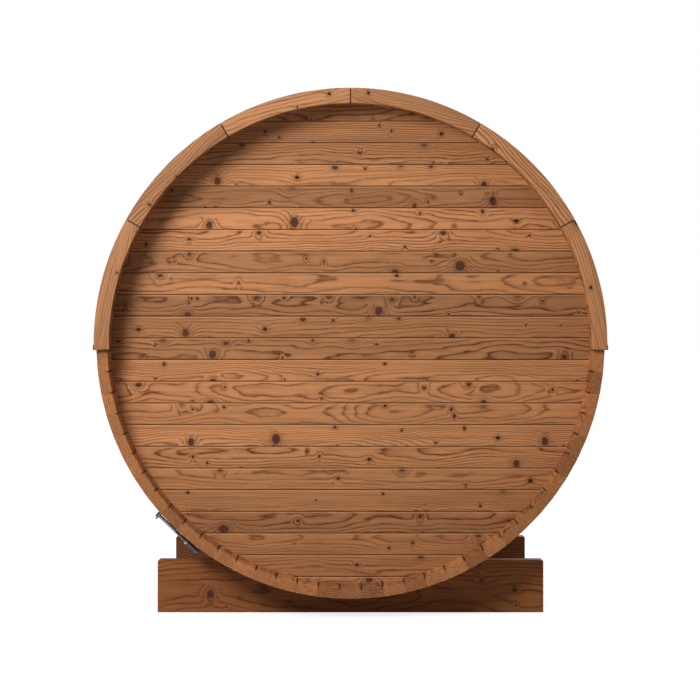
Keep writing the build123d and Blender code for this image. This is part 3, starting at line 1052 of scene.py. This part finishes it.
# Studio: pale floor, white surroundings, soft lamps at the upper left, wide light from behind and the right
def mirror_or_camera(n):
    """1 for what the camera, a mirror or clear glass sees."""
    rays = n.add("ShaderNodeLightPath").node.outputs
    seen = n.math("MAXIMUM", rays["Is Camera Ray"], rays["Is Glossy Ray"])
    return n.math("MAXIMUM", seen, rays["Is Transmission Ray"])


def studio_floor():
    """Wide pale floor that keeps a light shadow."""
    half_width, glow_level = 60, 0.80
    bm = bmesh.new()
    bmesh.ops.create_grid(bm, x_segments=1, y_segments=1, size=half_width)
    mesh = bpy.data.meshes.new("floor")
    bm.to_mesh(mesh)
    bm.free()
    floor_piece = bpy.data.objects.new("floor", mesh)
    bpy.context.scene.collection.objects.link(floor_piece)
    material, n = new_material("pale_floor")
    speckle = n.noise(n.scaled(n.add("ShaderNodeTexCoord", output="Object"), 40, 40, 40))
    matt = n.add("ShaderNodeBsdfDiffuse", {"Color": n.mix(speckle, (0.40, 0.40, 0.40), (0.43, 0.43, 0.43))})
    strength = n.math("MULTIPLY", mirror_or_camera(n), glow_level)
    glow = n.add("ShaderNodeEmission", {"Color": (1, 1, 1, 1), "Strength": strength})
    cover(n, n.add("ShaderNodeAddShader", {0: matt, 1: glow}))
    mesh.materials.append(material)


def studio_world(level):
    """White to look at, and a soft even light on the object."""
    world = bpy.data.worlds.new("studio")
    bpy.context.scene.world = world
    world.use_nodes = True
    world.node_tree.nodes.clear()
    n = Nodes(world.node_tree)
    strength = n.between(mirror_or_camera(n), 0.0, 1.0, level, 1.0, smooth=False)
    shade = n.add("ShaderNodeBackground", {"Color": (1, 1, 1, 1), "Strength": strength})
    cover(n, shade, "ShaderNodeOutputWorld")


def place_lamp(light, azimuth, elevation, distance):
    """A lamp this far from the closed end's middle, turned towards it; azimuth 90 is to the right."""
    lamp = bpy.data.objects.new(light.name, light)
    bpy.context.scene.collection.objects.link(lamp)
    across, up = radians(azimuth), radians(elevation)
    towards = Vector((sin(across) * cos(up), -cos(across) * cos(up), sin(up)))
    lamp.location = barrel_axis + Vector((0, -0.6, 0)) + towards * distance
    lamp.rotation_mode = "QUATERNION"
    lamp.rotation_quaternion = towards.to_track_quat("Z", "Y")
    return lamp


def soft_lamp(name, azimuth, elevation, distance, size, watts):
    """Round soft box that the camera doesn't see."""
    light = bpy.data.lights.new(name, "AREA")
    light.shape = "DISK"
    light.size = size
    light.energy = watts
    place_lamp(light, azimuth, elevation, distance).visible_camera = False


def sun(name, azimuth, elevation, strength, spread):
    """Wide light of one strength all over."""
    light = bpy.data.lights.new(name, "SUN")
    light.energy = strength
    light.angle = radians(spread)
    place_lamp(light, azimuth, elevation, distance=8)


def camera():
    """Straight at the closed end, a little above the axis, as the photograph was taken."""
    image_width, focal_pixels, horizon_row = 700, 2253, 313
    data = bpy.data.cameras.new("camera")
    data.sensor_width = 36
    data.lens = focal_pixels / image_width * data.sensor_width
    data.shift_y = -(image_width / 2 - horizon_row) / image_width
    viewer = bpy.data.objects.new("camera", data)
    bpy.context.scene.collection.objects.link(viewer)
    viewer.location = (-0.002, -9.65, 1.213)
    viewer.rotation_euler = (pi / 2, 0, 0)
    bpy.context.scene.camera = viewer


studio_floor()
studio_world(level=0.105)
soft_lamp("key", azimuth=-29.5, elevation=22, distance=4.3, size=1.35, watts=136)
soft_lamp("overhead", azimuth=-29, elevation=52, distance=4.4, size=2.4, watts=57)
sun("far_side", azimuth=165, elevation=38, strength=1.8, spread=35)
sun("right_side", azimuth=108, elevation=22, strength=1.3, spread=30)
camera()
bpy.context.scene.view_settings.view_transform = "Standard"
